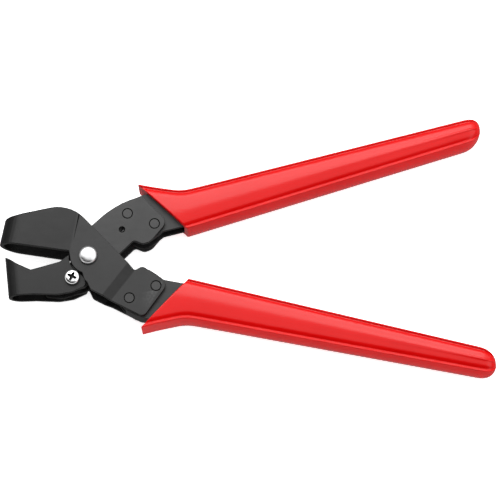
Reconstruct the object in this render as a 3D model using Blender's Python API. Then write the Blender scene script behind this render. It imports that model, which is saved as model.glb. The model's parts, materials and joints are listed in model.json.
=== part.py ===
"""Notching pliers: a U-bent die jaw, a U-bent V-edged punch blade and two sleeved handles.

The frame: the pivot axis is Z through the origin, z = 0 is the flat back of the pivot rivet,
+X runs to the handle ends and +Y to the upper handle.  Sizes below are millimetres; the meshes
are scaled to metres when their objects are made.
"""
import math

import bmesh
import bpy

MM = 0.001
GAP = 0.3

# Sheet and stack: half widths are measured from the mid plane of the tool.
DIE_SHEET = 2.2
BLADE_SHEET = 1.8
CORE_SHEET = 1.8
CORE_HALF = 5.7
ARM_INNER = CORE_HALF + GAP
ARM_OUTER = ARM_INNER + DIE_SHEET
DIE_INNER = ARM_OUTER + GAP
DIE_OUTER = DIE_INNER + DIE_SHEET
BLADE_OUTER = ARM_OUTER
BLADE_INNER = BLADE_OUTER - BLADE_SHEET

# Pivot.
PIVOT_SHANK_RADIUS = 3.5
PIVOT_HEAD_RADIUS = 4.6
PIVOT_HEAD_HEIGHT = 2.7
PIVOT_TAIL_RADIUS = 4.6
PIVOT_TAIL_DEPTH = 1.4
SPACER_WALL = 1.4

# Handles, in the frame of the two handles' bisector.
REST_TILT = math.radians(2.05)
HANDLE_LENGTH = 199.0
SLEEVE_HALF = 9.6
SLEEVE_RIDGE = 8.6
SLEEVE_BULGE = 0.9
BULGE_FROM = 30.0
BULGE_TO = 62.0
SLEEVE_WALL = 2.3
MOUTH_INNER_X = 49.2
MOUTH_OVERSHOOT = 0.8
MOUTH_OUTER_X = 25.0
MOUTH_OUTER_Y = 36.8
GRIP_INNER_Y = 12.8
GRIP_INNER_SLOPE = 0.2797
GRIP_OUTER = ((20.0, 37.8), (26.3, 36.7), (31.0, 35.5), (39.2, 34.0), (46.3, 32.8), (50.2, 33.3), (66.6, 36.9))
GRIP_OUTER_SLOPE = 0.2255
CORE_END_MARGIN = 14.0
CORE_END_WALL = 2.0

# Fasteners.
RIVET_RADIUS = 2.3
BUSH_WALL = 1.1
RIVET_PLACES = (("front", 33.0, 16.0), ("rear", 19.7, 21.7))
SCREW_PLACE = (-7.8, -10.7)
SCREW_RADIUS = 2.0
SCREW_HEAD_RADIUS = 3.9
SCREW_HEAD_HEIGHT = 2.6
SCREW_RECESS_WIDTH = 1.1
SCREW_RECESS_LENGTH = 4.2
SCREW_RECESS_DEPTH = 1.3
SCREW_RECESS_TURN = math.radians(-26.0)
DIE_ARM_ARC = math.hypot(*SCREW_PLACE) - SCREW_HEAD_RADIUS - GAP
NUT_FLATS = 7.0
BLADE_SPACER_RADIUS = 4.0

# Jaws.
DIE_NOSE_X = -46.7
DIE_NOSE_SLANT = 0.19
DIE_NOSE_RADIUS = 10.2
DIE_CREASE_DIRECTION = (-0.983, 0.184)
DIE_CREASE_AT = 8.77
DIE_TAPER = 0.00234
BLADE_NOSE_X = -42.1
BLADE_NOSE_SLANT = -0.116
BLADE_NOSE_RADIUS = 6.8
BLADE_TAPER_FROM = 12.0
BLADE_TAPER = 0.003
BLADE_HEEL_ARC = 9.7

# Bends: the die plates step in to the handle, the carrier plates step in to the blade.
TAB_BEND_ANGLE = math.radians(-36.9)
TAB_BEND_FROM = 18.0
TAB_BEND_TO = 22.4
CARRIER_BEND_ANGLE = math.radians(221.3)
CARRIER_BEND_FROM = 5.6
CARRIER_BEND_TO = 8.8

# Opening spring.
WIRE_RADIUS = 0.8
COIL_RADIUS = 7.0
COIL_HALF_HEIGHT = 2.4
SPRING_HOLE_PLACE = (16.3, 14.1)
SPRING_HOLE_RADIUS = 1.5
SPRING_LOWER_LEG_REACH = 3.0

ARC_STEP = math.radians(9.0)
NOSE_STEPS = 20
CUT_DEPTH = 20.0
END_ROUND = 9.0
GRIP_SMOOTHING = (-3.0, -1.5, 0.0, 1.5, 3.0)


def clear_scene():
    for item in list(bpy.data.objects):
        bpy.data.objects.remove(item)


def make_material(name, colour, roughness, metallic):
    material = bpy.data.materials.new(name)
    material.use_nodes = True
    shader = material.node_tree.nodes["Principled BSDF"]
    shader.inputs["Base Color"].default_value = (*colour, 1.0)
    shader.inputs["Roughness"].default_value = roughness
    shader.inputs["Metallic"].default_value = metallic
    return material


def rotate(point, angle):
    x, y = point
    return (x * math.cos(angle) - y * math.sin(angle), x * math.sin(angle) + y * math.cos(angle))


def polar(radius, angle):
    return (radius * math.cos(angle), radius * math.sin(angle))


def arc_points(centre, radius, start, end):
    steps = max(2, math.ceil(abs(end - start) / ARC_STEP))
    turns = [start + (end - start) * index / steps for index in range(steps + 1)]
    return [(centre[0] + radius * math.cos(turn), centre[1] + radius * math.sin(turn)) for turn in turns]


def rounded(corners):
    """An outline from (x, y) or (x, y, fillet radius) corners, each fillet made of arc points."""
    points = []
    count = len(corners)
    for index, corner in enumerate(corners):
        if len(corner) == 2 or corner[2] == 0.0:
            points.append((corner[0], corner[1]))
            continue
        before = corners[index - 1]
        after = corners[(index + 1) % count]
        points.extend(fillet(before, corner, after, corner[2]))
    return points


def fillet(before, corner, after, radius):
    back = (before[0] - corner[0], before[1] - corner[1])
    ahead = (after[0] - corner[0], after[1] - corner[1])
    back_length = math.hypot(*back)
    ahead_length = math.hypot(*ahead)
    back = (back[0] / back_length, back[1] / back_length)
    ahead = (ahead[0] / ahead_length, ahead[1] / ahead_length)
    half = math.acos(max(-1.0, min(1.0, back[0] * ahead[0] + back[1] * ahead[1]))) / 2.0
    reach = radius / math.tan(half)
    middle = (back[0] + ahead[0], back[1] + ahead[1])
    middle_length = math.hypot(*middle)
    away = radius / math.sin(half)
    centre = (corner[0] + middle[0] / middle_length * away, corner[1] + middle[1] / middle_length * away)
    first = (corner[0] + back[0] * reach, corner[1] + back[1] * reach)
    last = (corner[0] + ahead[0] * reach, corner[1] + ahead[1] * reach)
    start = math.atan2(first[1] - centre[1], first[0] - centre[0])
    end = math.atan2(last[1] - centre[1], last[0] - centre[0])
    turn = (end - start + math.pi) % (2.0 * math.pi) - math.pi
    return arc_points(centre, radius, start, start + turn)


def circle(centre, radius, count=24):
    return [(centre[0] + radius * math.cos(2 * math.pi * index / count),
             centre[1] + radius * math.sin(2 * math.pi * index / count)) for index in range(count)]


def loft(rings):
    """A closed solid through rings of points, with its two end rings filled."""
    mesh = bmesh.new()
    loops = [[mesh.verts.new(point) for point in ring] for ring in rings]
    count = len(loops[0])
    for lower, upper in zip(loops, loops[1:]):
        for index in range(count):
            after = (index + 1) % count
            mesh.faces.new((lower[index], lower[after], upper[after], upper[index]))
    mesh.faces.new(list(reversed(loops[0])))
    mesh.faces.new(loops[-1])
    bmesh.ops.recalc_face_normals(mesh, faces=mesh.faces)
    return mesh


def prism(outline, low, high):
    return loft([[(x, y, z) for x, y in outline] for z in (low, high)])


def cone(centre, low, low_radius, high, high_radius, count=24):
    rings = [circle(centre, low_radius, count), circle(centre, high_radius, count)]
    return loft([[(x, y, z) for x, y in ring] for ring, z in zip(rings, (low, high))])


def turned(centre, profile, count=28):
    """A solid of revolution from (radius, z) pairs that run up its outer side."""
    return loft([[(x, y, z) for x, y in circle(centre, radius, count)] for radius, z in profile])


def tube(centre, inner, outer, low, high, count=28):
    mesh = bmesh.new()
    rings = []
    for radius, z in ((inner, low), (outer, low), (outer, high), (inner, high)):
        rings.append([mesh.verts.new((x, y, z)) for x, y in circle(centre, radius, count)])
    for lower, upper in zip(rings, rings[1:] + rings[:1]):
        for index in range(count):
            after = (index + 1) % count
            mesh.faces.new((lower[index], lower[after], upper[after], upper[index]))
    bmesh.ops.recalc_face_normals(mesh, faces=mesh.faces)
    return mesh


def make_object(name, shape):
    """An object from a bmesh in millimetres."""
    bmesh.ops.scale(shape, vec=(MM, MM, MM), verts=shape.verts)
    mesh = bpy.data.meshes.new(name)
    shape.to_mesh(mesh)
    shape.free()
    item = bpy.data.objects.new(name, mesh)
    bpy.context.scene.collection.objects.link(item)
    return item


def combine(target, shape, operation):
    """Apply one Boolean between an object and a bmesh in millimetres."""
    other = make_object("cutter", shape)
    modifier = target.modifiers.new("combine", "BOOLEAN")
    modifier.operation = operation
    modifier.object = other
    depsgraph = bpy.context.evaluated_depsgraph_get()
    result = bpy.data.meshes.new_from_object(target.evaluated_get(depsgraph))
    target.modifiers.clear()
    target.data = result
    bpy.data.objects.remove(other)


def cut(target, shape):
    combine(target, shape, "DIFFERENCE")


def bend(target, direction, places, drop):
    """Fold both plates of a solid: score it at each place and move its points by drop(distance)."""
    shape = bmesh.new()
    shape.from_mesh(target.data)
    for place in places:
        everything = shape.verts[:] + shape.edges[:] + shape.faces[:]
        point = (direction[0] * place * MM, direction[1] * place * MM, 0.0)
        bmesh.ops.bisect_plane(shape, geom=everything, dist=1e-7, plane_co=point,
                               plane_no=(direction[0], direction[1], 0.0))
    for vertex in shape.verts:
        distance = (vertex.co.x * direction[0] + vertex.co.y * direction[1]) / MM
        vertex.co.z = drop(distance, vertex.co.z / MM) * MM
    shape.to_mesh(target.data)
    shape.free()


def step_bend(target, angle, start, end, depth):
    direction = (math.cos(angle), math.sin(angle))

    def drop(distance, z):
        share = min(1.0, max(0.0, (distance - start) / (end - start)))
        return z - math.copysign(depth * share, z)

    bend(target, direction, (start, end), drop)


def taper(target, direction, start, rate):
    def drop(distance, z):
        return z * (1.0 - rate * max(0.0, distance - start))

    bend(target, direction, (start,), drop)


def finish(item, material, parent, rotation=0.0):
    """Give an object its material, its shading and its place on one of the two halves."""
    item.data.materials.clear()
    item.data.materials.append(material)
    item.data.shade_smooth()
    item.data.set_sharp_from_angle(angle=math.radians(32.0))
    item.parent = parent
    item.rotation_euler.z = rotation
    return item


def u_channel(nose_x, slant, nose_radius, half, sheet, back_x, low, high):
    """A U-bent sheet, open to +X, run along Y, with its nose leaning by the slant."""
    def leg(radius, width):
        points = [(back_x, width)]
        for index in range(NOSE_STEPS + 1):
            turn = math.pi / 2.0 + math.pi * index / NOSE_STEPS
            points.append((radius * math.cos(turn), width * math.sin(turn)))
        points.append((back_x, -width))
        return points

    outer = leg(nose_radius, half)
    inner = leg(nose_radius - sheet, half - sheet)
    profile = outer + list(reversed(inner))
    rings = []
    for y in (low, high):
        shift = nose_x + nose_radius + slant * y
        ring = []
        for x, z in profile:
            ring.append((back_x if x == back_x else x + shift, y, z))
        rings.append(ring)
    return loft(rings)


def grip_inner(x):
    return GRIP_INNER_Y + (x - MOUTH_INNER_X) * GRIP_INNER_SLOPE


def grip_outer_plain(x):
    if x <= GRIP_OUTER[0][0]:
        return GRIP_OUTER[0][1]
    for (left, low), (right, high) in zip(GRIP_OUTER, GRIP_OUTER[1:]):
        if x <= right:
            return low + (high - low) * (x - left) / (right - left)
    return GRIP_OUTER[-1][1] + (x - GRIP_OUTER[-1][0]) * GRIP_OUTER_SLOPE


def grip_outer(x):
    """The grip's outer edge, with its corners smoothed over a few millimetres."""
    return sum(grip_outer_plain(x + shift) for shift in GRIP_SMOOTHING) / len(GRIP_SMOOTHING)


def grip_section(x):
    """One ring of the sleeve: crowned faces, an edge ridge and gently bulged sides."""
    share = max(0.0, (x - (HANDLE_LENGTH - END_ROUND)) / END_ROUND)
    width_share = max(0.0, 1.0 - share ** 2.4) ** 0.5
    depth_share = max(0.0, 1.0 - share ** 3.0) ** (1.0 / 2.6)
    middle = (grip_inner(x) + grip_outer(x)) / 2.0
    half = (grip_outer(x) - grip_inner(x)) / 2.0 * width_share
    crown = SLEEVE_HALF * depth_share
    ridge = SLEEVE_RIDGE * depth_share
    bulge = SLEEVE_BULGE * width_share * min(1.0, max(0.0, (x - BULGE_FROM) / (BULGE_TO - BULGE_FROM)))
    face = [(-1.0, 0.0), (-0.6, 0.75), (0.0, 1.0), (0.6, 0.75), (1.0, 0.0)]
    side = [(0.62, 0.62), (0.0, 1.0), (-0.62, 0.62)]
    ring = [(x, middle + half * u, ridge + (crown - ridge) * lift) for u, lift in face]
    ring += [(x, middle + half + bulge * lift, ridge * share_z) for share_z, lift in side]
    ring += [(x, middle - half * u, -ridge - (crown - ridge) * lift) for u, lift in face]
    ring += [(x, middle - half - bulge * lift, -ridge * share_z) for share_z, lift in side]
    return ring


def mirrored(points, side):
    return [(point[0], point[1] * side, *point[2:]) for point in points]


def core_end():
    return HANDLE_LENGTH - CORE_END_MARGIN


def core_outline(clearance):
    """The handle steel's outline; the sleeve's pocket is the same outline with a clearance."""
    inset = SLEEVE_WALL - clearance
    end = core_end() + clearance
    stations = (34.0, 39.2, 43.0, 46.3, 50.2, 55.0, 66.6, 110.0, end)
    points = [(15.4 - clearance, 19.0), (14.4 - clearance, 22.6), (17.0, 26.4 + clearance)]
    points += [(22.0, 29.8 + clearance), (28.0, 32.0 + clearance)]
    points += [(x, grip_outer(x) - inset) for x in stations]
    points += [(x, grip_inner(x) + inset) for x in (end, MOUTH_INNER_X)]
    points += [(37.0, 12.4 - clearance), (33.0, 9.2 - clearance), (29.6, 6.9 - clearance)]
    points += [(27.2, 6.4 - clearance), (24.6, 7.0 - clearance), (21.4, 8.6 - clearance)]
    points += [(20.8 - clearance, 13.2)]
    return points


def channel_outline():
    """What the core's channel leaves open: all but its far end and its outer web, cut off in front."""
    web = SLEEVE_WALL + CORE_SHEET
    end = core_end() - CORE_END_WALL
    stations = (34.0, 39.2, 43.0, 46.3, 50.2, 55.0, 66.6, 110.0, end)
    points = [(8.0, 15.0), (8.0, 32.0), (17.5, 32.0), (17.5, 25.3), (22.6, 28.3), (28.2, 30.4)]
    points += [(x, grip_outer(x) - web) for x in stations]
    points += [(end, grip_inner(end) - 4.0), (48.0, 4.0), (20.0, -2.0), (8.0, 5.0)]
    return points


def build_core(name, side, material, parent):
    core = make_object(name, prism(mirrored(core_outline(0.0), side), -CORE_HALF, CORE_HALF))
    pocket = CORE_HALF - CORE_SHEET
    cut(core, prism(mirrored(channel_outline(), side), -pocket, pocket))
    for _, x, y in RIVET_PLACES:
        cut(core, prism(circle((x, y * side), bush_radius() + GAP), -pocket, pocket))
        cut(core, prism(circle((x, y * side), RIVET_RADIUS + GAP), -CUT_DEPTH, CUT_DEPTH))
    return finish(core, material, parent, REST_TILT)


def build_sleeve(name, side, material, parent):
    stations = [20.0, 27.0, 33.0, 38.0, 42.0, 45.0, 48.0, 51.0, 55.0, 60.0, 68.0, 90.0, 120.0, 150.0, 180.0]
    stations += [HANDLE_LENGTH - back for back in (9.0, 6.5, 4.5, 3.0, 1.8, 0.9, 0.3)]
    sleeve = make_object(name, loft([mirrored(grip_section(x), side) for x in stations]))
    along = (MOUTH_INNER_X - MOUTH_OUTER_X) * MOUTH_OVERSHOOT
    across = (MOUTH_OUTER_Y - GRIP_INNER_Y) * MOUTH_OVERSHOOT
    mouth = [(MOUTH_OUTER_X, MOUTH_OUTER_Y + across), (MOUTH_OUTER_X, MOUTH_OUTER_Y),
             (MOUTH_INNER_X + along, GRIP_INNER_Y - across), (0.0, -40.0), (-10.0, MOUTH_OUTER_Y + across)]
    cut(sleeve, prism(mirrored(mouth, side), -CUT_DEPTH, CUT_DEPTH))
    cut(sleeve, prism(mirrored(core_outline(GAP), side), -ARM_INNER, ARM_INNER))
    return finish(sleeve, material, parent, REST_TILT)


def build_rivets(prefix, side, material, parent):
    for label, x, y in RIVET_PLACES:
        place = rotate((x, y * side), REST_TILT)
        shape = prism(circle((0.0, 0.0), RIVET_RADIUS), -ARM_OUTER, ARM_OUTER)
        rivet = make_object(f"{prefix}_rivet_{label}", shape)
        rivet.location = (place[0] * MM, place[1] * MM, 0.0)
        finish(rivet, material, parent)


def bush_radius():
    return RIVET_RADIUS + GAP + BUSH_WALL


def build_bushes(prefix, side, material, parent):
    """The tubes round the rivets that keep the handle channel's two walls apart."""
    half = CORE_HALF - CORE_SHEET - GAP
    for label, x, y in RIVET_PLACES:
        place = rotate((x, y * side), REST_TILT)
        shape = tube((0.0, 0.0), RIVET_RADIUS + GAP, bush_radius(), -half, half, 24)
        bush = make_object(f"{prefix}_bush_{label}", shape)
        bush.location = (place[0] * MM, place[1] * MM, 0.0)
        finish(bush, material, parent)


def die_outline():
    corners = [(-52.0, 19.4), (-36.0, 21.5, 10.0), (-9.6, 27.0, 18.5)]
    corners += [(22.9, -6.9, 1.2), (26.8, -4.6, 2.6), (39.6, -13.6, 3.6), (27.6, -30.6, 3.0)]
    corners += [(11.6, -22.4, 6.0), (1.4, -17.2, 3.0), (-0.6, -13.0, 4.0)]
    points = rounded(corners)
    points += arc_points((0.0, 0.0), DIE_ARM_ARC, math.radians(252.0), math.radians(188.0))
    points += [(-9.6, 2.5), (-52.0, 8.8)]
    return points


def build_die(material, parent):
    die = make_object("die_body", u_channel(DIE_NOSE_X, DIE_NOSE_SLANT, DIE_NOSE_RADIUS, DIE_OUTER,
                                            DIE_SHEET, 60.0, -50.0, 50.0))
    combine(die, prism(die_outline(), -CUT_DEPTH, CUT_DEPTH), "INTERSECT")
    hole = PIVOT_SHANK_RADIUS + GAP
    cut(die, prism(circle((0.0, 0.0), hole), -CUT_DEPTH, CUT_DEPTH))
    cut(die, cone((0.0, 0.0), -DIE_OUTER - 1.0, PIVOT_TAIL_RADIUS + GAP + tail_slope(),
                  -DIE_OUTER + PIVOT_TAIL_DEPTH, hole))
    for _, x, y in RIVET_PLACES:
        place = rotate((x, -y), REST_TILT)
        cut(die, prism(circle(place, RIVET_RADIUS + GAP), -CUT_DEPTH, CUT_DEPTH))
    step_bend(die, TAB_BEND_ANGLE, TAB_BEND_FROM, TAB_BEND_TO, DIE_OUTER - ARM_OUTER)
    taper(die, DIE_CREASE_DIRECTION, DIE_CREASE_AT, DIE_TAPER)
    return finish(die, material, parent)


def tail_slope():
    return (PIVOT_TAIL_RADIUS - PIVOT_SHANK_RADIUS) / PIVOT_TAIL_DEPTH


def blade_outline():
    points = rounded([(-46.0, 4.1), (-36.0, -3.0, 14.0), (-28.6, -6.4)])
    points += [(-14.3, -2.4), (-9.9, 1.0)]
    points += arc_points((0.0, 0.0), BLADE_HEEL_ARC, math.radians(178.0), math.radians(247.0))
    points += rounded([(-3.6, -8.8), (-1.6, -11.0, 2.0), (-0.8, -14.6, 2.4), (-8.0, -18.0, 6.0),
                       (-15.0, -19.2, 12.0), (-27.0, -18.8)])[1:]
    points += [(-35.5, -19.2), (-46.0, -20.0)]
    return points


def build_blade(material, parent):
    blade = make_object("punch_blade", u_channel(BLADE_NOSE_X, BLADE_NOSE_SLANT, BLADE_NOSE_RADIUS,
                                                 BLADE_OUTER, BLADE_SHEET, 20.0, -40.0, 20.0))
    combine(blade, prism(blade_outline(), -CUT_DEPTH, CUT_DEPTH), "INTERSECT")
    cut(blade, prism(circle(SCREW_PLACE, SCREW_RADIUS + GAP), -CUT_DEPTH, CUT_DEPTH))
    taper(blade, (-1.0, 0.0), BLADE_TAPER_FROM, BLADE_TAPER)
    return finish(blade, material, parent)


def carrier_outline():
    corners = [(1.4, 16.4), (8.0, 22.6, 30.0), (16.0, 28.0, 30.0), (25.6, 31.6, 1.0), (38.9, 18.2, 4.0)]
    corners += [(30.6, 8.0, 6.0), (26.9, 6.6, 3.0), (22.2, 8.5, 2.0), (3.0, -10.8, 4.0)]
    corners += [(-1.8, -15.0, 3.0), (-13.6, -18.5, 8.0), (-22.0, -17.6, 1.5), (-22.0, -9.4, 1.5)]
    corners += [(-11.0, -6.2, 2.0), (-8.6, -1.0, 3.0), (-7.6, 8.2, 6.0)]
    return rounded(corners)


def build_carrier(name, front, material, parent):
    low, high = (ARM_INNER, ARM_OUTER) if front > 0 else (-ARM_OUTER, -ARM_INNER)
    plate = make_object(name, prism(carrier_outline(), low, high))
    cut(plate, prism(circle((0.0, 0.0), PIVOT_SHANK_RADIUS + GAP), -CUT_DEPTH, CUT_DEPTH))
    cut(plate, prism(circle(SCREW_PLACE, SCREW_RADIUS + GAP), -CUT_DEPTH, CUT_DEPTH))
    cut(plate, prism(circle(SPRING_HOLE_PLACE, SPRING_HOLE_RADIUS), -CUT_DEPTH, CUT_DEPTH))
    for _, x, y in RIVET_PLACES:
        cut(plate, prism(circle(rotate((x, y), REST_TILT), RIVET_RADIUS + GAP), -CUT_DEPTH, CUT_DEPTH))
    step_bend(plate, CARRIER_BEND_ANGLE, CARRIER_BEND_FROM, CARRIER_BEND_TO,
              ARM_OUTER - (BLADE_INNER - GAP))
    taper(plate, (-1.0, 0.0), BLADE_TAPER_FROM, BLADE_TAPER)
    return finish(plate, material, parent)


def build_pivot(material, parent):
    spread = [(PIVOT_HEAD_RADIUS * math.cos(math.radians(90.0 * index / 6)),
               DIE_OUTER + GAP + 0.6 + (PIVOT_HEAD_HEIGHT - 0.6) * math.sin(math.radians(90.0 * index / 6)))
              for index in range(6)]
    profile = [(PIVOT_TAIL_RADIUS, -DIE_OUTER),
               (PIVOT_SHANK_RADIUS, -DIE_OUTER + PIVOT_TAIL_DEPTH),
               (PIVOT_SHANK_RADIUS, DIE_OUTER + GAP),
               (PIVOT_HEAD_RADIUS, DIE_OUTER + GAP)]
    profile += spread
    profile += [(0.6, DIE_OUTER + GAP + PIVOT_HEAD_HEIGHT)]
    return finish(make_object("pivot_rivet", turned((0.0, 0.0), profile)), material, parent)


def build_pivot_spacer(material, parent):
    inner = PIVOT_SHANK_RADIUS + GAP
    half = ARM_INNER - GAP
    shape = tube((0.0, 0.0), inner, inner + SPACER_WALL, -half, half)
    return finish(make_object("pivot_spacer", shape), material, parent)


def build_screw(material, parent):
    seat = BLADE_OUTER + GAP
    crown = seat + SCREW_HEAD_HEIGHT
    profile = [(SCREW_RADIUS - 0.25, -DIE_OUTER), (SCREW_RADIUS, -DIE_OUTER + 0.3), (SCREW_RADIUS, seat),
               (SCREW_HEAD_RADIUS, seat), (SCREW_HEAD_RADIUS, seat + 1.1),
               (SCREW_HEAD_RADIUS * 0.94, seat + 1.8), (SCREW_HEAD_RADIUS * 0.78, seat + 2.3),
               (SCREW_HEAD_RADIUS * 0.5, crown)]
    screw = make_object("blade_screw", turned((0.0, 0.0), profile))
    half_width = SCREW_RECESS_WIDTH / 2.0
    half_length = SCREW_RECESS_LENGTH / 2.0
    for extra in (0.0, math.pi / 2.0):
        slot = [(-half_length, -half_width), (half_length, -half_width),
                (half_length, half_width), (-half_length, half_width)]
        slot = [rotate(point, SCREW_RECESS_TURN + extra) for point in slot]
        cut(screw, prism(slot, crown - SCREW_RECESS_DEPTH, crown + 1.0))
    screw.location = (SCREW_PLACE[0] * MM, SCREW_PLACE[1] * MM, 0.0)
    return finish(screw, material, parent)


def build_nut(material, parent):
    """A thin nut behind the blade, one flat towards the pivot, its back level with the die's."""
    facing = math.atan2(SCREW_PLACE[1], SCREW_PLACE[0])
    corner = NUT_FLATS / 2.0 / math.cos(math.pi / 6.0)
    outline = [polar(corner, facing + math.pi / 6.0 + math.pi / 3.0 * index) for index in range(6)]
    nut = make_object("blade_nut", prism(outline, -DIE_OUTER, -BLADE_OUTER - GAP))
    cut(nut, prism(circle((0.0, 0.0), SCREW_RADIUS + GAP), -DIE_OUTER - 1.0, 0.0))
    nut.location = (SCREW_PLACE[0] * MM, SCREW_PLACE[1] * MM, 0.0)
    return finish(nut, material, parent)


def build_blade_spacer(material, parent):
    """The tube that keeps the two carrier plates apart round the blade screw."""
    half = BLADE_INNER - GAP - DIE_SHEET - GAP
    shape = tube((0.0, 0.0), SCREW_RADIUS + GAP, BLADE_SPACER_RADIUS, -half, half)
    spacer = make_object("blade_spacer", shape)
    spacer.location = (SCREW_PLACE[0] * MM, SCREW_PLACE[1] * MM, 0.0)
    return finish(spacer, material, parent)


def spring_route():
    """Hook in the carrier's hole, upper leg, coil round the pivot, lower leg on the rear bush."""
    hole_angle = math.atan2(SPRING_HOLE_PLACE[1], SPRING_HOLE_PLACE[0])
    hole_reach = math.hypot(*SPRING_HOLE_PLACE)
    coil_start = hole_angle + math.acos(COIL_RADIUS / hole_reach)
    rivet = rotate((RIVET_PLACES[1][1], -RIVET_PLACES[1][2]), REST_TILT)
    rivet_angle = math.atan2(rivet[1], rivet[0])
    rivet_reach = math.hypot(*rivet)
    side_step = COIL_RADIUS + bush_radius() + WIRE_RADIUS + GAP
    coil_end = rivet_angle - math.acos(side_step / rivet_reach) + 6.0 * math.pi
    top = COIL_HALF_HEIGHT
    hook_top = ARM_OUTER - 0.5
    x, y = SPRING_HOLE_PLACE
    ahead = (-math.sin(coil_start), math.cos(coil_start))
    points = [(x, y, hook_top), (x, y, 5.6), (x, y, top + 1.3), (x + ahead[0] * 0.4, y + ahead[1] * 0.4, top + 0.5)]
    points += [(x + ahead[0] * 1.2, y + ahead[1] * 1.2, top), (x + ahead[0] * 8.0, y + ahead[1] * 8.0, top)]
    turns = 52
    for index in range(turns + 1):
        angle = coil_start + (coil_end - coil_start) * index / turns
        points.append((*polar(COIL_RADIUS, angle), top - 2.0 * top * index / turns))
    leave = (-math.sin(coil_end), math.cos(coil_end))
    for reach in (8.0, 18.0, math.sqrt(rivet_reach ** 2 - side_step ** 2) + SPRING_LOWER_LEG_REACH):
        start = polar(COIL_RADIUS, coil_end)
        points.append((start[0] + leave[0] * reach, start[1] + leave[1] * reach, -top))
    return points


def build_spring(material, parent):
    curve = bpy.data.curves.new("opening_spring", "CURVE")
    curve.dimensions = "3D"
    curve.bevel_depth = WIRE_RADIUS * MM
    curve.bevel_resolution = 1
    curve.use_fill_caps = True
    route = spring_route()
    spline = curve.splines.new("POLY")
    spline.points.add(len(route) - 1)
    for point, place in zip(spline.points, route):
        point.co = (place[0] * MM, place[1] * MM, place[2] * MM, 1.0)
    spring = bpy.data.objects.new("opening_spring", curve)
    bpy.context.scene.collection.objects.link(spring)
    curve.materials.append(material)
    spring.parent = parent
    return spring


def add_half(name):
    """An empty on the pivot axis, at the tool's mid plane, that carries one half."""
    half = bpy.data.objects.new(name, None)
    half.location.z = DIE_OUTER * MM
    bpy.context.scene.collection.objects.link(half)
    return half


def build_pliers():
    clear_scene()
    black = make_material("blackened_steel", (0.075, 0.075, 0.075), 0.45, 0.6)
    blade_black = make_material("blade_steel", (0.06, 0.06, 0.06), 0.42, 0.6)
    red = make_material("red_sleeve", (0.86, 0.06, 0.05), 0.3, 0.0)
    bright = make_material("zinc_plate", (0.8, 0.8, 0.8), 0.25, 1.0)
    spring_steel = make_material("spring_steel", (0.45, 0.45, 0.45), 0.3, 1.0)
    die_half = add_half("die_half")
    punch_half = add_half("punch_half")
    build_die(black, die_half)
    build_core("lower_handle_core", -1, black, die_half)
    build_sleeve("lower_handle_sleeve", -1, red, die_half)
    build_rivets("lower", -1, black, die_half)
    build_bushes("lower", -1, spring_steel, die_half)
    build_pivot(bright, die_half)
    build_pivot_spacer(spring_steel, die_half)
    build_spring(spring_steel, die_half)
    build_blade(blade_black, punch_half)
    build_carrier("carrier_plate_front", 1, black, punch_half)
    build_carrier("carrier_plate_back", -1, black, punch_half)
    build_core("upper_handle_core", 1, black, punch_half)
    build_sleeve("upper_handle_sleeve", 1, red, punch_half)
    build_rivets("upper", 1, black, punch_half)
    build_bushes("upper", 1, spring_steel, punch_half)
    build_screw(bright, punch_half)
    build_nut(bright, punch_half)
    build_blade_spacer(spring_steel, punch_half)


build_pliers()
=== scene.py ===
"""Looks of the notching pliers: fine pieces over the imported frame, their materials, lights and camera.

Everything is in the row frame: the pivot axis is Z through the origin and the tool lies along X.
Sizes below are millimetres unless a comment says otherwise.
"""
import json
import math

import bmesh
import bpy
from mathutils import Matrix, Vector


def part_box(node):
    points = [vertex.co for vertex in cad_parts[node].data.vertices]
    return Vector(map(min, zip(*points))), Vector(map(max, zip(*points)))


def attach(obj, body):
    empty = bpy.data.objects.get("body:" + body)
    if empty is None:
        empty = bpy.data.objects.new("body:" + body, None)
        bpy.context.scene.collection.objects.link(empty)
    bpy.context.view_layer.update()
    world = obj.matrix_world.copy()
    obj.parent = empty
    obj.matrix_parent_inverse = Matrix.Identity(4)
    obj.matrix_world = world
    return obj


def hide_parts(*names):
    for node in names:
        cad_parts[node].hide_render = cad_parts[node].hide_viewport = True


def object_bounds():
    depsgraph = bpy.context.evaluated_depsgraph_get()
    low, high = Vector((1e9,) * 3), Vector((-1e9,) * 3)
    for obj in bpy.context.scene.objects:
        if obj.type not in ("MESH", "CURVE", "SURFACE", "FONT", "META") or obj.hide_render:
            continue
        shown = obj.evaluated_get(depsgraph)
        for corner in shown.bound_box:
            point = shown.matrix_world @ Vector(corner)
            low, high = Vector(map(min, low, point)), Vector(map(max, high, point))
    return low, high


MM = 0.001

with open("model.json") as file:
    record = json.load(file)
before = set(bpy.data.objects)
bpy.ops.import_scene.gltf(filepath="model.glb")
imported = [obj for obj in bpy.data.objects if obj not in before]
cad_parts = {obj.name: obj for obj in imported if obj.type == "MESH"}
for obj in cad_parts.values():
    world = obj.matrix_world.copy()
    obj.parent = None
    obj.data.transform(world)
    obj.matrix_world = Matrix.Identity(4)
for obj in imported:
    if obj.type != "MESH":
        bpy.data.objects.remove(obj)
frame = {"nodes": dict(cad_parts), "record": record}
cad_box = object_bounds()

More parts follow.
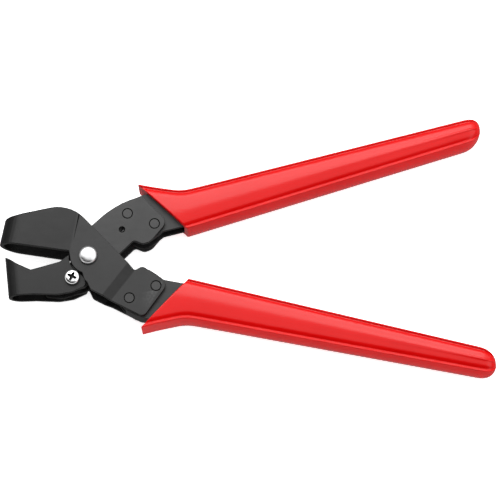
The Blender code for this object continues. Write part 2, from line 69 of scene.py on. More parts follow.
# Sizes taken from the frame.
DIE_LOW, DIE_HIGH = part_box("die_body")
MID = (DIE_LOW.z + DIE_HIGH.z) / 2.0 / MM
DIE_HALF = (DIE_HIGH.z - DIE_LOW.z) / 2.0 / MM
HEAD_LOW, HEAD_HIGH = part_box("pivot_rivet")
HEAD_RADIUS = (HEAD_HIGH.x - HEAD_LOW.x) / 2.0 / MM
SCREW_LOW, SCREW_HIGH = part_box("blade_screw")
SCREW_PLACE = ((SCREW_LOW.x + SCREW_HIGH.x) / 2.0 / MM, (SCREW_LOW.y + SCREW_HIGH.y) / 2.0 / MM)
SCREW_HEAD_RADIUS = (SCREW_HIGH.x - SCREW_LOW.x) / 2.0 / MM
CORE_HALF = (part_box("upper_handle_core")[1].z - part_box("upper_handle_core")[0].z) / 2.0 / MM
SLEEVE_CROWN = (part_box("upper_handle_sleeve")[1].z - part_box("upper_handle_sleeve")[0].z) / 2.0 / MM
RIVET_HALF = (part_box("upper_rivet_front")[1].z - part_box("upper_rivet_front")[0].z) / 2.0 / MM

# Handle sleeves, in the frame of the two handles' bisector. Their outline follows the CAD's.
REST_TILT = math.radians(2.05)
HANDLE_LENGTH = 199.0
END_ROUND = 9.0
END_WIDTH_POWER = 2.4
END_WIDTH_ROOT = 0.5
END_DEPTH_POWER = 3.0
END_DEPTH_ROOT = 1.0 / 2.6
GRIP_INNER_Y = 12.8
GRIP_INNER_SLOPE = 0.2797
MOUTH_INNER_X = 49.2
MOUTH_OUTER_X = 25.0
MOUTH_OUTER_Y = 36.8
GRIP_OUTER = ((20.0, 37.8), (26.3, 36.7), (31.0, 35.5), (39.2, 34.0), (46.3, 32.8), (50.2, 33.3),
              (66.6, 36.9))
GRIP_OUTER_SLOPE = 0.2255
GRIP_SMOOTHING = (-3.0, -1.5, 0.0, 1.5, 3.0)
SIDE_BULGE = 0.9
BULGE_FROM = 30.0
BULGE_TO = 62.0
SLEEVE_WALL = 2.0
POCKET_END = 185.3
POCKET_HALF = CORE_HALF + 0.3
# The edge of a grip's face: (distance in from the side, drop below the crown), from the side inwards.
EDGE_PROFILE = ((0.0, 2.2), (0.06, 1.7), (0.16, 1.34), (0.34, 1.19), (0.92, 1.3), (1.14, 1.64), (1.4, 1.78),
                (1.8, 1.58), (2.4, 1.12), (3.0, 0.78), (3.7, 0.54), (4.6, 0.38), (5.6, 0.28))
DOME_STEPS = 8
SIDE_STEPS = 8

# Where a sleeve's rings lie. Inside: shares of the way from the mouth to the pocket's end.
POCKET_SHARES = (1.0, 0.8, 0.6, 0.4, 0.2, 0.1, 0.03, 0.0)
# Over the lip: (share of the way from the inner to the outer line, how many lips further along).
LIP = 0.55
LIP_STEPS = ((0.35, 0.0), (0.75, 0.02), (0.93, 0.18))
# Outside: rings crowd towards the mouth, then follow evenly, up to the share where the end's rounding starts.
SKIN_LENGTH = 150.0
NEAR_STEPS = 34
NEAR_SHARE = 0.19
NEAR_CROWDING = 1.3
FAR_STEPS = 26
FAR_FROM = 0.2
FAR_SHARE = 0.735
SKIN_SHARE = 0.935
END_STEPS = 18

# The die's crease: where the jaw leans away from the arm.
CREASE_DIRECTION = (-0.983, 0.184, 0.0)
CREASE_AT = 8.77
# Over this width past the crease, the jaw's painted shade fades in.
CREASE_FADE = 1.5
CREASE_TOP_Y = 22.6
CREASE_BOTTOM_Y = 8.6
CREASE_HALF_WIDTH = 0.42
CREASE_DEPTH = 0.55
# Its cutter: the share left at the lower end, where across it is deepest, the step on the arm's side
# and the height above the face.
CREASE_END_SHARE = 0.12
CREASE_DEEPEST = 0.3
CREASE_FAR_WALL = 0.1
CUTTER_RISE = 0.4

# Gap that the CAD leaves under both heads.
GAP = 0.3

# Pivot rivet: its flush tail from the back face on, its shank, and the rim and dome of its head.
TAIL_PROFILE = ((4.35, 0.0), (4.6, 0.12), (3.5, 1.4))
PIVOT_SHANK_RADIUS = 3.5
PIVOT_EDGE = 0.12
PIVOT_RIM = 0.55
PIVOT_DOME_POWER = 0.92
PIVOT_DOME_STEPS = 14

# Blade screw: its shank, then its pan head, whose side and flat top are shares of its height and radius.
SHANK_RADIUS = 2.0
SHANK_TIP_RADIUS = 1.75
SHANK_CHAMFER = 0.3
PAN_EDGE = 0.15
PAN_SIDE_SHARE = 0.36
PAN_FLAT_SHARE = 0.4
PAN_STEPS = 12

# Cross recess. Its levels are (z from the head's top, share of full size), from the bottom up.
RECESS_TURN = math.radians(-26.0)
RECESS_REACH = 2.4
RECESS_HALF_WIDTH = 0.72
RECESS_DEPTH = 1.7
RECESS_LEVELS = ((-RECESS_DEPTH, 0.42), (-0.25, 0.93), (0.5, 1.0))
RECESS_CORNER = 1.15
RECESS_TAPER = 0.8

# Opening spring.
WIRE_RADIUS = 0.8
COIL_RADIUS = 7.0
COIL_HALF_HEIGHT = 2.4
HOOK_PLACE = (16.3, 14.1)
LOWER_SEAT = (20.83, -16.09)
COIL_TURNS = 3
STEPS_PER_TURN = 60
LOWER_LEG_PAST_SEAT = 3.0
LOWER_LEG_STEPS = 8
# The upper leg's end lies inside the coil over this angle, a little slimmer than the coil's own wire.
LEG_OVERLAP = math.radians(30.0)
LEG_OVERLAP_STEPS = 10
LEG_SLIMNESS = 0.985
# The hook, from its tip: (x and y from the hole, z above the coil's top).
# Its bend lies this far from the hole, towards the coil.
HOOK = ((1.9, 1.15, 2.55), (0.9, 0.45, 2.6), (0.1, -0.15, 2.6), (-0.7, -0.65, 2.45), (-1.3, -0.85, 2.0),
        (-1.7, -0.7, 1.2), (-1.9, -0.2, 0.5))
HOOK_BEND = 2.6

# Camera: it looks along +Y and steeply down, with its place and lens fitted to the photo.
CAMERA_TARGET = Vector((0.07999, 0.005736, 0.0107))
CAMERA_DISTANCE = 1.05
CAMERA_ELEVATION = math.radians(74.5)
CAMERA_LENS = 151.2
SENSOR_WIDTH = 36.0

# Stage and light, in metres. A level is (share of the way from straight down to straight up, brightness).
FLOOR_HALF_SIZE = 6.0
ROOM_BRIGHT_SIDE = ((0.49, 0.2), (0.51, 0.3), (0.62, 0.3), (0.7, 1.6), (0.88, 1.9), (0.95, 1.25),
                    (1.0, 1.25))
ROOM_DARK_SIDE = ((0.49, 0.2), (0.51, 1.1), (0.64, 1.1), (0.68, 0.04), (0.925, 0.04), (0.98, 1.15),
                  (1.0, 1.25))
DARK_SIDE_DIRECTION = (-0.45, -0.9, 0.0)
DARK_SIDE_FROM = 0.08
DARK_SIDE_TO = 0.4
KEY_PLACE = (0.05, 0.46, 0.655)
KEY_AIM = (0.08, 0.0, 0.0)
KEY_WIDTH = 1.0
KEY_HEIGHT = 0.575
KEY_RADIANCE = 2.6


# ---------------------------------------------------------------- materials

class Nodes:
    """A new material's node tree, with short ways to add and link nodes."""

    def __init__(self, name):
        self.material = bpy.data.materials.new(name)
        self.material.use_nodes = True
        self.tree = self.material.node_tree
        self.shader = self.tree.nodes["Principled BSDF"]
        self.place = self.add("ShaderNodeTexCoord").outputs["Object"]

    def add(self, kind, **settings):
        node = self.tree.nodes.new(kind)
        for key, value in settings.items():
            setattr(node, key, value)
        return node

    def link(self, source, target):
        self.tree.links.new(source, target)

    def stretched(self, scale, turn=0.0):
        """Object coordinates turned about Z and stretched."""
        mapping = self.add("ShaderNodeMapping")
        mapping.inputs["Scale"].default_value = scale
        mapping.inputs["Rotation"].default_value = (0.0, 0.0, turn)
        self.link(self.place, mapping.inputs["Vector"])
        return mapping.outputs["Vector"]

    def noise(self, scale, detail=3.0, roughness=0.55, place=None):
        node = self.add("ShaderNodeTexNoise")
        node.inputs["Scale"].default_value = scale
        node.inputs["Detail"].default_value = detail
        node.inputs["Roughness"].default_value = roughness
        self.link(place or self.place, node.inputs["Vector"])
        return node.outputs["Fac"]

    def ramp(self, source, *stops):
        node = self.add("ShaderNodeValToRGB")
        elements = node.color_ramp.elements
        while len(elements) < len(stops):
            elements.new(0.5)
        for element, (position, colour) in zip(elements, stops):
            element.position = position
            element.color = (*colour, 1.0) if isinstance(colour, tuple) else (colour, colour, colour, 1.0)
        self.link(source, node.inputs["Fac"])
        return node.outputs["Color"]

    def mix(self, share, first, second):
        node = self.add("ShaderNodeMix", data_type="RGBA")
        self.link(share, node.inputs["Factor"])
        for value, socket in ((first, node.inputs[6]), (second, node.inputs[7])):
            if isinstance(value, tuple):
                socket.default_value = (*value, 1.0)
            else:
                self.link(value, socket)
        return node.outputs[2]

    def math(self, operation, first, second):
        node = self.add("ShaderNodeMath", operation=operation)
        for value, socket in ((first, node.inputs[0]), (second, node.inputs[1])):
            if isinstance(value, (int, float)):
                socket.default_value = value
            else:
                self.link(value, socket)
        return node.outputs["Value"]

    def bump(self, height, distance, strength=1.0, after=None):
        node = self.add("ShaderNodeBump")
        node.inputs["Strength"].default_value = strength
        node.inputs["Distance"].default_value = distance * MM
        self.link(height, node.inputs["Height"])
        if after is not None:
            self.link(after, node.inputs["Normal"])
        return node.outputs["Normal"]

    def edges(self, low, high):
        """1 on convex edges, 0 elsewhere, broken up by a fine noise: the mask of a painted edge highlight."""
        geometry = self.add("ShaderNodeNewGeometry")
        raw = self.ramp(geometry.outputs["Pointiness"], (low, 0.0), (high, 1.0))
        highlight_breakup = self.ramp(self.noise(900.0, 2.0), (0.38, 0.35), (0.62, 1.0))
        return self.math("MULTIPLY", raw, highlight_breakup)

    def finish(self, colour, roughness, normal, metallic, **sockets):
        self.link(colour, self.shader.inputs["Base Color"])
        self.link(roughness, self.shader.inputs["Roughness"])
        self.link(normal, self.shader.inputs["Normal"])
        self.shader.inputs["Metallic"].default_value = metallic
        for key, value in sockets.items():
            self.shader.inputs[key.replace("_", " ")].default_value = value
        return self.material


def blackened_steel(name, level, roughness, jaw=1.0):
    """Oil-blackened sheet: a fine tumbled grain, cloudy patches and a painted highlight on its convex edges.

    The jaw, past the crease line, is darker by the share given: this is painted shade.
    """
    nodes = Nodes(name)
    patches = nodes.noise(55.0, 4.0, 0.6)
    grain = nodes.noise(3200.0, 2.0)
    colour = nodes.ramp(patches, (0.3, 0.94 * level), (0.7, 1.06 * level))
    speckle = nodes.ramp(grain, (0.35, 0.95 * level), (0.7, 1.06 * level))
    colour = nodes.mix(nodes.math("MULTIPLY", grain, 0.4), colour, speckle)
    # Painted highlight: convex edges are lightened to 4.5 times the steel's level.
    colour = nodes.mix(nodes.edges(0.55, 0.62), colour, (4.5 * level, 4.5 * level, 4.5 * level))
    # Painted shade: past the crease line, the jaw's colour is multiplied by the given share.
    if jaw < 1.0:
        along = nodes.add("ShaderNodeVectorMath", operation="DOT_PRODUCT")
        along.inputs[1].default_value = CREASE_DIRECTION
        nodes.link(nodes.place, along.inputs[0])
        past = nodes.add("ShaderNodeMapRange", interpolation_type="SMOOTHSTEP")
        past.inputs["From Min"].default_value = CREASE_AT * MM
        past.inputs["From Max"].default_value = (CREASE_AT + CREASE_FADE) * MM
        nodes.link(along.outputs["Value"], past.inputs["Value"])
        dark = nodes.add("ShaderNodeMix", data_type="RGBA", blend_type="MULTIPLY")
        nodes.link(past.outputs["Result"], dark.inputs["Factor"])
        nodes.link(colour, dark.inputs[6])
        dark.inputs[7].default_value = (jaw, jaw, jaw, 1.0)
        colour = dark.outputs[2]
    smear = nodes.noise(140.0, 4.0, 0.65, nodes.stretched((1.0, 2.6, 1.0), 0.7))
    rough = nodes.ramp(smear, (0.3, roughness - 0.04), (0.7, roughness + 0.05))
    normal = nodes.bump(grain, 0.004, 0.18)
    normal = nodes.bump(nodes.noise(420.0, 3.0), 0.006, 0.12, normal)
    return nodes.finish(colour, rough, normal, 0.9)


def sleeve_plastic():
    """Glossy dip-moulded plastic: an even deep red with a faint orange peel and soft handling marks."""
    nodes = Nodes("red_sleeve_plastic")
    clouds = nodes.noise(38.0, 3.0)
    colour = nodes.ramp(clouds, (0.3, (0.55, 0.001, 0.001)), (0.7, (0.59, 0.002, 0.002)))
    rub = nodes.noise(95.0, 5.0, 0.7, nodes.stretched((0.35, 1.5, 1.0)))
    rough = nodes.ramp(rub, (0.35, 0.17), (0.75, 0.22))
    peel = nodes.noise(380.0, 2.0)
    normal = nodes.bump(peel, 0.018, 0.3)
    normal = nodes.bump(nodes.noise(1900.0, 2.0), 0.003, 0.35, normal)
    return nodes.finish(colour, rough, normal, 0.0, Specular_IOR_Level=0.32)


def plated_metal(name, dark, light, roughness, turning):
    """Bright plate or plain steel, with fine turning marks round Z."""
    nodes = Nodes(name)
    colour = nodes.ramp(nodes.noise(160.0, 3.0), (0.3, dark), (0.7, light))
    marks = nodes.noise(turning, 2.0, 0.5, nodes.stretched((0.3, 1.0, 1.0)))
    rough = nodes.ramp(marks, (0.3, roughness - 0.03), (0.7, roughness + 0.05))
    normal = nodes.bump(nodes.noise(turning, 3.0), 0.004, 0.35)
    return nodes.finish(colour, rough, normal, 1.0)


def floor_material():
    nodes = Nodes("floor_paper")
    colour = nodes.ramp(nodes.noise(3.0, 2.0), (0.3, 0.93), (0.7, 0.95))
    rough = nodes.ramp(nodes.noise(9.0, 2.0), (0.3, 0.85), (0.7, 0.92))
    normal = nodes.bump(nodes.noise(600.0, 2.0), 0.01, 0.2)
    return nodes.finish(colour, rough, normal, 0.0, Specular_IOR_Level=0.1, Emission_Strength=0.75)


# ---------------------------------------------------------------- mesh helpers

def add_piece(name, shape, material, body, slot, *replaced):
    """A piece from a bmesh in metres, with its material, attached to its body, hiding the CAD parts it
    replaces.
    """
    mesh = bpy.data.meshes.new(name)
    shape.to_mesh(mesh)
    shape.free()
    piece = bpy.data.objects.new(name, mesh)
    bpy.context.scene.collection.objects.link(piece)
    dress(piece, material, body, slot, *replaced)
    return piece


def dress(piece, material, body, slot, *replaced):
    piece.data.materials.clear()
    piece.data.materials.append(material)
    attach(piece, body)
    if replaced:
        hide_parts(*replaced)


def smooth(piece, angle):
    piece.data.shade_smooth()
    piece.data.set_sharp_from_angle(angle=math.radians(angle))


def bevel(piece, width, segments=2, angle=20.0):
    """Rounds a piece's sharp edges and evens the shading of its flat faces."""
    modifier = piece.modifiers.new("edge_round", "BEVEL")
    modifier.width = width * MM
    modifier.segments = segments
    modifier.limit_method = "ANGLE"
    modifier.angle_limit = math.radians(angle)
    modifier.use_clamp_overlap = False
    modifier.miter_outer = "MITER_ARC"
    modifier.harden_normals = True
    apply_modifiers(piece)


def apply_modifiers(piece):
    depsgraph = bpy.context.evaluated_depsgraph_get()
    result = bpy.data.meshes.new_from_object(piece.evaluated_get(depsgraph), depsgraph=depsgraph)
    piece.modifiers.clear()
    old = piece.data
    piece.data = result
    result.name = piece.name
    bpy.data.meshes.remove(old)


def cut(piece, shape, material=None):
    """Takes a bmesh in metres out of a piece; the cut faces take the given material."""
    mesh = bpy.data.meshes.new("cutter")
    shape.to_mesh(mesh)
    shape.free()
    if material is not None:
        piece.data.materials.append(material)
        mesh.materials.append(material)
    cutter = bpy.data.objects.new("cutter", mesh)
    bpy.context.scene.collection.objects.link(cutter)
    modifier = piece.modifiers.new("cut", "BOOLEAN")
    modifier.operation = "DIFFERENCE"
    modifier.object = cutter
    modifier.material_mode = "TRANSFER"
    apply_modifiers(piece)
    bpy.data.objects.remove(cutter)
    bpy.data.meshes.remove(mesh)


def loft(rings):
    """A bmesh in metres through rings of points in millimetres, with its ends filled."""
    shape = bmesh.new()
    loops = [[shape.verts.new(Vector(point) * MM) for point in ring] for ring in rings]
    count = len(loops[0])
    for lower, upper in zip(loops, loops[1:]):
        for index in range(count):
            after = (index + 1) % count
            shape.faces.new((lower[index], lower[after], upper[after], upper[index]))
    shape.faces.new(list(reversed(loops[0])))
    shape.faces.new(loops[-1])
    bmesh.ops.recalc_face_normals(shape, faces=shape.faces)
    return shape


def turned(place, profile, count):
    """A solid of revolution about Z from (radius, z) pairs."""
    rings = []
    for radius, z in profile:
        ring = []
        for index in range(count):
            turn = 2.0 * math.pi * index / count
            ring.append((place[0] + radius * math.cos(turn), place[1] + radius * math.sin(turn), z))
        rings.append(ring)
    return loft(rings)


def rotated(x, y, turn):
    return (x * math.cos(turn) - y * math.sin(turn), x * math.sin(turn) + y * math.cos(turn))


def body_of(node):
    for name, members in frame["record"]["behaviour"]["bodies"].items():
        if node in members:
            return name
    raise ValueError(node)


def refined(node, material, slot, width, cutters=()):
    """A copy of a CAD node with merged faces and rounded edges, standing for that node."""
    shape = bmesh.new()
    shape.from_mesh(frame["nodes"][node].data)
    bmesh.ops.remove_doubles(shape, verts=shape.verts, dist=1e-6)
    bmesh.ops.dissolve_limit(shape, angle_limit=math.radians(0.1), verts=shape.verts, edges=shape.edges)
    piece = add_piece("fine_" + node, shape, material, body_of(node), slot, node)
    smooth(piece, 20.0)
    bevel(piece, width)
    for cutter in cutters:
        cut(piece, cutter)
    return piece


# ---------------------------------------------------------------- sleeves

def grip_inner(x):
    return GRIP_INNER_Y + (x - MOUTH_INNER_X) * GRIP_INNER_SLOPE


def grip_outer_plain(x):
    if x <= GRIP_OUTER[0][0]:
        return GRIP_OUTER[0][1]
    for (left, low), (right, high) in zip(GRIP_OUTER, GRIP_OUTER[1:]):
        if x <= right:
            return low + (high - low) * (x - left) / (right - left)
    return GRIP_OUTER[-1][1] + (x - GRIP_OUTER[-1][0]) * GRIP_OUTER_SLOPE


def grip_outer(x):
    return sum(grip_outer_plain(x + shift) for shift in GRIP_SMOOTHING) / len(GRIP_SMOOTHING)


def grip_half(x):
    return (grip_outer(x) - grip_inner(x)) / 2.0


def section_lines():
    """The lines that run along a sleeve, in ring order: (kind, sign of z, side, step or share)."""
    lines = []
    edge = len(EDGE_PROFILE)
    for sign in (1.0, -1.0):
        lines += [("edge", sign, -sign, index) for index in range(edge)]
        lines += [("dome", sign, -sign, index / DOME_STEPS) for index in range(1, DOME_STEPS)]
        lines += [("edge", sign, sign, index) for index in reversed(range(edge))]
        lines += [("side", sign, sign, index / SIDE_STEPS) for index in range(1, SIDE_STEPS)]
    return lines


def section_point(line, x):
    """A sleeve line's (y, z) at x, before its end is rounded."""
    kind, sign, side, value = line
    half = grip_half(x)
    middle = (grip_outer(x) + grip_inner(x)) / 2.0
    flat, flat_drop = EDGE_PROFILE[-1]
    if kind == "edge":
        inward, drop = EDGE_PROFILE[value]
        return middle + side * (half - inward), sign * (SLEEVE_CROWN - drop)
    if kind == "dome":
        across = 1.0 - 2.0 * value
        return middle + side * (half - flat) * across, sign * (SLEEVE_CROWN - flat_drop * across * across)
    height = (SLEEVE_CROWN - EDGE_PROFILE[0][1]) * (1.0 - 2.0 * value)
    lift = 1.0 - (1.0 - 2.0 * value) ** 2
    share = min(1.0, max(0.0, (x - BULGE_FROM) / (BULGE_TO - BULGE_FROM)))
    return middle + side * (half + SIDE_BULGE * lift * share), sign * height


def end_shares(x):
    """How much of a sleeve's width and depth is left at x, where its end is rounded."""
    share = max(0.0, (x - (HANDLE_LENGTH - END_ROUND)) / END_ROUND)
    width = max(0.0, 1.0 - share ** END_WIDTH_POWER) ** END_WIDTH_ROOT
    depth = max(0.0, 1.0 - share ** END_DEPTH_POWER) ** END_DEPTH_ROOT
    return width, depth


def outer_point(line, x):
    y, z = section_point(line, x)
    middle = (grip_outer(x) + grip_inner(x)) / 2.0
    width, depth = end_shares(x)
    return (x, middle + (y - middle) * width, z * depth)


def inner_point(line, x):
    """A line on the pocket's wall."""
    kind, sign, side, value = line
    y, _ = section_point(line, x)
    half = grip_half(x)
    middle = (grip_outer(x) + grip_inner(x)) / 2.0
    reach = (half - SLEEVE_WALL) / half
    if kind == "side":
        return (x, middle + side * (half - SLEEVE_WALL), sign * POCKET_HALF * (1.0 - 2.0 * value))
    return (x, middle + (y - middle) * reach, sign * POCKET_HALF)


def mouth_x(point_at):
    """Where a sleeve line meets the slanted mouth."""
    slope = (MOUTH_OUTER_Y - GRIP_INNER_Y) / (MOUTH_INNER_X - MOUTH_OUTER_X)
    x = (MOUTH_INNER_X + MOUTH_OUTER_X) / 2.0
    for _ in range(20):
        x = MOUTH_OUTER_X + max(0.0, MOUTH_OUTER_Y - point_at(x)[1]) / slope
    return x


def blend_points(first, second, share):
    return tuple(a + (b - a) * share for a, b in zip(first, second))


def build_sleeve(node, side, material):
    """A dipped sleeve: out of its pocket, over the lip, along the outside and round the end."""
    lines = section_lines()
    starts = [mouth_x(lambda x, line=line: outer_point(line, x)) for line in lines]
    inner_starts = [mouth_x(lambda x, line=line: inner_point(line, x)) for line in lines]
    rings = []
    for share in POCKET_SHARES:
        rings.append([inner_point(line, start + (POCKET_END - start) * share)
                      for line, start in zip(lines, inner_starts)])
    for share, further in LIP_STEPS:
        ring = []
        for line, start, inner_start in zip(lines, starts, inner_starts):
            outer = outer_point(line, start + LIP * further)
            ring.append(blend_points(inner_point(line, inner_start), outer, share))
        rings.append(ring)
    near = [LIP / SKIN_LENGTH + NEAR_SHARE * (index / NEAR_STEPS) ** NEAR_CROWDING
            for index in range(NEAR_STEPS + 1)]
    far = [FAR_FROM + FAR_SHARE * index / FAR_STEPS for index in range(FAR_STEPS + 1)]
    for share in near + far:
        along = min(1.0, share / SKIN_SHARE)
        rings.append([outer_point(line, start + (HANDLE_LENGTH - END_ROUND - start) * along)
                      for line, start in zip(lines, starts)])
    for index in range(1, END_STEPS + 1):
        x = HANDLE_LENGTH - END_ROUND + END_ROUND * math.sin(math.pi / 2.0 * index / (END_STEPS + 0.5))
        rings.append([outer_point(line, x) for line in lines])
    placed = []
    for ring in rings:
        placed.append([(*rotated(x, y * side, REST_TILT), z + MID) for x, y, z in ring])
    shape = loft(placed)
    piece = add_piece("dipped_" + node, shape, material, body_of(node), "red_sleeve", node)
    smooth(piece, 60.0)
    return piece


# ---------------------------------------------------------------- fasteners

def build_pivot(material):
    """A domed head on a collar, and a flush countersunk tail."""
    seat = MID + DIE_HALF + GAP
    top = HEAD_HIGH.z / MM
    dome = top - seat - PIVOT_RIM
    profile = [*TAIL_PROFILE, (PIVOT_SHANK_RADIUS, seat), (HEAD_RADIUS - PIVOT_EDGE, seat),
               (HEAD_RADIUS, seat + PIVOT_EDGE), (HEAD_RADIUS, seat + PIVOT_RIM)]
    for index in range(1, PIVOT_DOME_STEPS):
        turn = math.pi / 2.0 * index / PIVOT_DOME_STEPS
        profile.append((HEAD_RADIUS * math.cos(turn) ** PIVOT_DOME_POWER,
                        seat + PIVOT_RIM + dome * math.sin(turn)))
    profile.append((PIVOT_EDGE, top))
    piece = add_piece("domed_pivot_rivet", turned((0.0, 0.0), profile, 72), material, "die_half",
                      "bright_plate", "pivot_rivet")
    smooth(piece, 40.0)
    return piece


def cross_outline(reach, half_width):
    """A cross whose arms taper towards their ends, as (x, y) about the screw's axis."""
    points = []
    for quarter in range(4):
        base = RECESS_TURN + quarter * math.pi / 2.0
        for along, across in ((half_width * RECESS_CORNER, -half_width),
                              (reach, -half_width * RECESS_TAPER),
                              (reach, half_width * RECESS_TAPER)):
            points.append(rotated(along, across, base))
    return points


def build_screw(material, recess_material):
    """A pan head with a cross recess, and its shank."""
    seat = MID + RIVET_HALF + GAP
    tip = SCREW_LOW.z / MM
    top = SCREW_HIGH.z / MM
    radius = SCREW_HEAD_RADIUS
    height = top - seat
    profile = [(SHANK_TIP_RADIUS, tip), (SHANK_RADIUS, tip + SHANK_CHAMFER), (SHANK_RADIUS, seat),
               (radius - PAN_EDGE, seat), (radius, seat + PAN_EDGE), (radius, seat + height * PAN_SIDE_SHARE)]
    for index in range(1, PAN_STEPS + 1):
        turn = math.pi / 2.0 * index / (PAN_STEPS + 0.5)
        across = PAN_FLAT_SHARE + (1.0 - PAN_FLAT_SHARE) * math.cos(turn)
        rise = PAN_SIDE_SHARE + (1.0 - PAN_SIDE_SHARE) * math.sin(turn)
        profile.append((radius * across, seat + height * rise))
    profile.append((PAN_EDGE, top))
    piece = add_piece("pan_head_screw", turned(SCREW_PLACE, profile, 64), material, "punch_half",
                      "bright_plate", "blade_screw")
    rings = []
    for rise, scale in RECESS_LEVELS:
        outline = cross_outline(RECESS_REACH * scale, RECESS_HALF_WIDTH * (0.4 + 0.6 * scale))
        rings.append([(SCREW_PLACE[0] + x, SCREW_PLACE[1] + y, top + rise) for x, y in outline])
    cut(piece, loft(rings), recess_material)
    smooth(piece, 35.0)
    bevel(piece, 0.07, 2, 40.0)
    return piece


def tube_along(route, radius, count=14):
    """A round wire through points, with its frame carried along so that it doesn't twist."""
    points = [Vector(point) for point in route]
    side = None
    rings = []
    for index, point in enumerate(points):
        ahead = (points[min(index + 1, len(points) - 1)] - points[max(index - 1, 0)]).normalized()
        if side is None:
            side = ahead.orthogonal().normalized()
        side = (side - ahead * side.dot(ahead)).normalized()
        up = ahead.cross(side)
        ring = []
        for step in range(count):
            turn = 2 * math.pi * step / count
            ring.append(point + (side * math.cos(turn) + up * math.sin(turn)) * radius)
        rings.append(ring)
    return loft(rings)


def build_spring(material):
    """The coil and lower leg go with the die half, the upper leg and its hook with the punch half."""
    hole_angle = math.atan2(HOOK_PLACE[1], HOOK_PLACE[0])
    coil_start = hole_angle + math.acos(COIL_RADIUS / math.hypot(*HOOK_PLACE))
    seat_reach = math.hypot(*LOWER_SEAT)
    coil_end = math.atan2(LOWER_SEAT[1], LOWER_SEAT[0]) - math.acos(COIL_RADIUS / seat_reach)
    coil_end += 2.0 * math.pi * COIL_TURNS
    steps = STEPS_PER_TURN * COIL_TURNS

    def coil_point(angle):
        share = (angle - coil_start) / (coil_end - coil_start)
        return (COIL_RADIUS * math.cos(angle), COIL_RADIUS * math.sin(angle),
                MID + COIL_HALF_HEIGHT - 2.0 * COIL_HALF_HEIGHT * share)

    coil = [coil_point(coil_start + (coil_end - coil_start) * index / steps) for index in range(steps + 1)]
    leave = (-math.sin(coil_end), math.cos(coil_end))
    length = math.sqrt(seat_reach ** 2 - COIL_RADIUS ** 2) + LOWER_LEG_PAST_SEAT
    last = coil[-1]
    coil += [(last[0] + leave[0] * length * step / LOWER_LEG_STEPS,
              last[1] + leave[1] * length * step / LOWER_LEG_STEPS, last[2])
             for step in range(1, LOWER_LEG_STEPS + 1)]
    add_wire("spring_coil", coil, WIRE_RADIUS, material, "die_half", "opening_spring")
    ahead = (-math.sin(coil_start), math.cos(coil_start))
    x, y = HOOK_PLACE
    top = MID + COIL_HALF_HEIGHT
    leg = [(x + across, y + up, top + rise) for across, up, rise in HOOK]
    first = coil_point(coil_start)
    last_bend = (x + ahead[0] * HOOK_BEND, y + ahead[1] * HOOK_BEND, top)
    leg.append(last_bend)
    for share in (0.35, 0.7):
        leg.append(blend_points(last_bend, first, share))
    leg += [coil_point(coil_start + LEG_OVERLAP * index / LEG_OVERLAP_STEPS)
            for index in range(LEG_OVERLAP_STEPS + 1)]
    add_wire("spring_leg", leg, WIRE_RADIUS * LEG_SLIMNESS, material, "punch_half")


def add_wire(name, route, radius, material, body, *replaced):
    piece = add_piece(name, tube_along(route, radius), material, body, "spring_wire", *replaced)
    smooth(piece, 50.0)
    return piece


# ---------------------------------------------------------------- build

def crease_x(y):
    return (CREASE_AT - y * CREASE_DIRECTION[1]) / CREASE_DIRECTION[0]


def wedge(front):
    """The cutter for the die's crease: a groove that runs out before it reaches the lip."""
    surface = MID + front * DIE_HALF
    rings = []
    for y, share in ((CREASE_TOP_Y, 1.0), (CREASE_BOTTOM_Y, CREASE_END_SHARE)):
        x = crease_x(y)
        wide = CREASE_HALF_WIDTH * share
        above = surface + front * CUTTER_RISE
        rings.append([(x - wide, y, above), (x + wide, y, above),
                      (x + wide, y, surface - front * CREASE_FAR_WALL),
                      (x + wide * CREASE_DEEPEST, y, surface - front * CREASE_DEPTH * share),
                      (x - wide, y, surface)])
    return loft(rings)


def build_pieces():
    black = blackened_steel("blackened_sheet", level=0.039, roughness=0.4)
    # The die's jaw carries painted shade: its colour past the crease is multiplied by 0.76.
    die_black = blackened_steel("blackened_die", level=0.031, roughness=0.38, jaw=0.76)
    handle_black = blackened_steel("blackened_handle", level=0.036, roughness=0.42)
    blade_black = blackened_steel("blackened_blade", level=0.0245, roughness=0.35)
    rivet_black = blackened_steel("blackened_rivet", level=0.039, roughness=0.36)
    recess = plated_metal("recess_shadow", (0.012, 0.012, 0.012), (0.03, 0.03, 0.03), 0.5, 900.0)
    red = sleeve_plastic()
    bright = plated_metal("bright_zinc", (0.78, 0.78, 0.79), (0.9, 0.9, 0.9), 0.14, 800.0)
    plain = plated_metal("plain_steel", (0.36, 0.36, 0.37), (0.46, 0.46, 0.46), 0.34, 1200.0)
    domed = plated_metal("zinc_rivet", (0.62, 0.62, 0.63), (0.82, 0.82, 0.82), 0.3, 1400.0)
    wire = plated_metal("drawn_wire", (0.05, 0.05, 0.052), (0.08, 0.08, 0.08), 0.16, 1500.0)

    refined("die_body", die_black, "black_steel", 0.28, [wedge(1.0), wedge(-1.0)])
    refined("punch_blade", blade_black, "blade_steel", 0.24)
    for face in ("front", "back"):
        refined("carrier_plate_" + face, black, "black_steel", 0.26)
    for level, side in (("upper", 1.0), ("lower", -1.0)):
        refined(level + "_handle_core", handle_black, "black_steel", 0.26)
        build_sleeve(level + "_handle_sleeve", side, red)
        for place in ("front", "rear"):
            refined(f"{level}_rivet_{place}", rivet_black, "rivet_steel", 0.16)
            refined(f"{level}_bush_{place}", plain, "plain_steel", 0.12)
    build_pivot(domed)
    build_screw(bright, recess)
    refined("blade_nut", bright, "bright_plate", 0.22)
    refined("pivot_spacer", plain, "plain_steel", 0.15)
    refined("blade_spacer", plain, "plain_steel", 0.15)
    build_spring(wire)


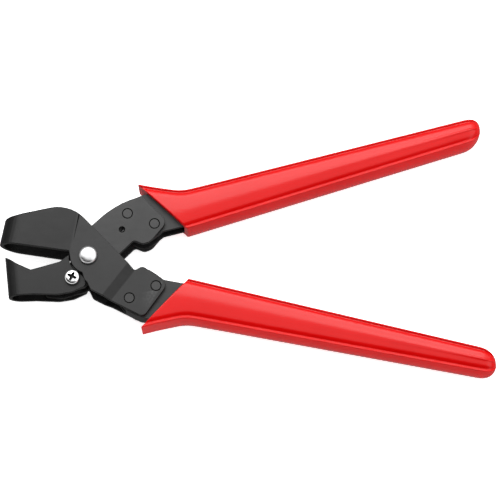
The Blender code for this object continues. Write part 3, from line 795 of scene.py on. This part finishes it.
def build_stage():
    """A pale floor that gives off light and hides from reflections, so that shadows nearly vanish."""
    shape = bmesh.new()
    bmesh.ops.create_grid(shape, x_segments=8, y_segments=8, size=FLOOR_HALF_SIZE)
    mesh = bpy.data.meshes.new("floor")
    shape.to_mesh(mesh)
    shape.free()
    floor = bpy.data.objects.new("floor", mesh)
    floor.location.z = cad_box[0].z
    floor.data.materials.append(floor_material())
    bpy.context.scene.collection.objects.link(floor)
    floor.visible_glossy = False


def add_softbox(name, place, aim, width, height, radiance):
    light = bpy.data.lights.new(name, "AREA")
    light.shape = "RECTANGLE"
    light.size = width
    light.size_y = height
    light.energy = radiance * math.pi * width * height
    item = bpy.data.objects.new(name, light)
    item.location = place
    item.rotation_euler = (Vector(aim) - Vector(place)).to_track_quat("-Z", "Y").to_euler()
    item.visible_camera = False
    bpy.context.scene.collection.objects.link(item)


def build_lights():
    """A pale studio: a bright ceiling, and a dark band of the room on the side of the camera."""
    world = bpy.data.worlds.new("studio")
    bpy.context.scene.world = world
    world.use_nodes = True
    tree = world.node_tree
    place = tree.nodes.new("ShaderNodeTexCoord").outputs["Generated"]
    split = tree.nodes.new("ShaderNodeSeparateXYZ")
    tree.links.new(place, split.inputs["Vector"])
    height = tree.nodes.new("ShaderNodeMapRange")
    height.inputs["From Min"].default_value = -1.0
    tree.links.new(split.outputs["Z"], height.inputs["Value"])
    toward = tree.nodes.new("ShaderNodeVectorMath")
    toward.operation = "DOT_PRODUCT"
    toward.inputs[1].default_value = DARK_SIDE_DIRECTION
    tree.links.new(place, toward.inputs[0])
    mask = tree.nodes.new("ShaderNodeMapRange")
    mask.inputs["From Min"].default_value = DARK_SIDE_FROM
    mask.inputs["From Max"].default_value = DARK_SIDE_TO
    tree.links.new(toward.outputs["Value"], mask.inputs["Value"])
    mix = tree.nodes.new("ShaderNodeMix")
    mix.data_type = "RGBA"
    tree.links.new(mask.outputs["Result"], mix.inputs["Factor"])
    for stops, socket in ((ROOM_BRIGHT_SIDE, mix.inputs[6]), (ROOM_DARK_SIDE, mix.inputs[7])):
        ramp = tree.nodes.new("ShaderNodeValToRGB")
        elements = ramp.color_ramp.elements
        while len(elements) < len(stops):
            elements.new(0.5)
        for element, (position, level) in zip(elements, stops):
            element.position = position
            element.color = (level, level, level, 1.0)
        tree.links.new(height.outputs["Result"], ramp.inputs["Fac"])
        tree.links.new(ramp.outputs["Color"], socket)
    tree.links.new(mix.outputs[2], tree.nodes["Background"].inputs["Color"])
    add_softbox("key", KEY_PLACE, KEY_AIM, KEY_WIDTH, KEY_HEIGHT, KEY_RADIANCE)


def build_camera():
    camera = bpy.data.cameras.new("camera")
    camera.lens = CAMERA_LENS
    camera.sensor_width = SENSOR_WIDTH
    item = bpy.data.objects.new("camera", camera)
    back = Vector((0.0, -math.cos(CAMERA_ELEVATION), math.sin(CAMERA_ELEVATION)))
    item.location = CAMERA_TARGET + back * CAMERA_DISTANCE
    item.rotation_euler = (math.pi / 2.0 - CAMERA_ELEVATION, 0.0, 0.0)
    bpy.context.scene.collection.objects.link(item)
    bpy.context.scene.camera = item


build_pieces()
build_stage()
build_lights()
build_camera()
bpy.context.scene.view_settings.view_transform = "Standard"
